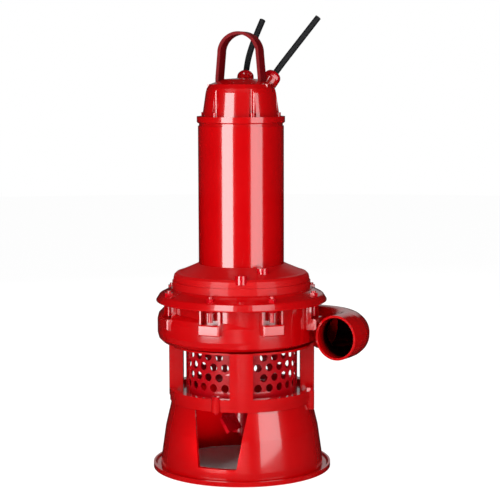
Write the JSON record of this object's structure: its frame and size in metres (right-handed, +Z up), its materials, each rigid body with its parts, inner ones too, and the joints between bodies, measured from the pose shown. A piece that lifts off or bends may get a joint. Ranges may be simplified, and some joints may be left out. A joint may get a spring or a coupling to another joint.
{
  "type": "submersible slurry pump",
  "caption": "Upright submersible slurry pump: flared stand, caged strainer, volute casing with a side discharge elbow, tall motor tube, lifting handle.",
  "frame": {"origin": "on the shaft axis, at the floor that the stand rests on", "axes": "+Z up along the shaft, -Y to the front, +X towards the discharge elbow's side"},
  "size_m": [0.558, 0.4598, 1.1635],
  "materials": {
    "red_enamel": "glossy red enamel on cast iron",
    "red_fastener": "glossy red enamel on steel fasteners",
    "red_sheet": "red enamel on punched sheet",
    "wear_iron": "red enamel on hard wear iron",
    "cable_sheath": "matt black rubber sheath",
    "black_rubber": "black rubber",
    "bearing_steel": "ground steel",
    "seal_carbide": "lapped dark carbide",
    "core_steel": "stacked steel laminations"
  },
  "bodies": {
    "pump": {"stand": "red_enamel", "cage_screws": "red_fastener", "suction_cage": "red_enamel", "strainer_screen": "red_sheet", "suction_plate": "wear_iron", "volute_casing": "red_enamel", "discharge_elbow": "red_enamel", "casing_gasket": "black_rubber", "casing_cover": "red_enamel", "casing_studs": "red_fastener", "casing_nuts": "red_fastener", "oil_chamber": "red_enamel", "shoulder_screws": "red_fastener", "oil_plug": "red_fastener", "motor_tube": "red_enamel", "bearing_bracket": "red_enamel", "cap": "red_enamel", "cap_screws": "red_fastener", "lifting_handle": "red_enamel", "handle_screws": "red_fastener", "gland_bodies": "red_enamel", "gland_nuts": "red_enamel", "gland_grommets": "black_rubber", "power_cable": "cable_sheath", "control_cable": "cable_sheath", "bearing_outer_rings": "bearing_steel", "seal_stationary_rings": "seal_carbide", "stator": "core_steel"},
    "rotor": {"shaft": "bearing_steel", "impeller_key": "bearing_steel", "impeller": "wear_iron", "agitator": "wear_iron", "agitator_bolt": "wear_iron", "bearing_inner_rings": "bearing_steel", "seal_rotating_rings": "seal_carbide", "rotor_core": "core_steel"},
    "lower_balls": {"lower_ball_ring": "bearing_steel"},
    "upper_balls": {"upper_ball_ring": "bearing_steel"}
  },
  "joints": [
    {"name": "shaft_spin", "type": "hinge", "parent": "pump", "child": "rotor", "pos_m": [0, 0, 0.5], "axis": [0, 0, 1], "continuous": true},
    {"name": "lower_ball_orbit", "type": "hinge", "parent": "pump", "child": "lower_balls", "pos_m": [0, 0, 0.5035], "axis": [0, 0, 1], "continuous": true},
    {"name": "upper_ball_orbit", "type": "hinge", "parent": "pump", "child": "upper_balls", "pos_m": [0, 0, 0.8695], "axis": [0, 0, 1], "continuous": true}
  ],
  "couplings": [
    {"joint": "lower_ball_orbit", "follows": "shaft_spin", "ratio": 0.406},
    {"joint": "upper_ball_orbit", "follows": "shaft_spin", "ratio": 0.431}
  ]
}
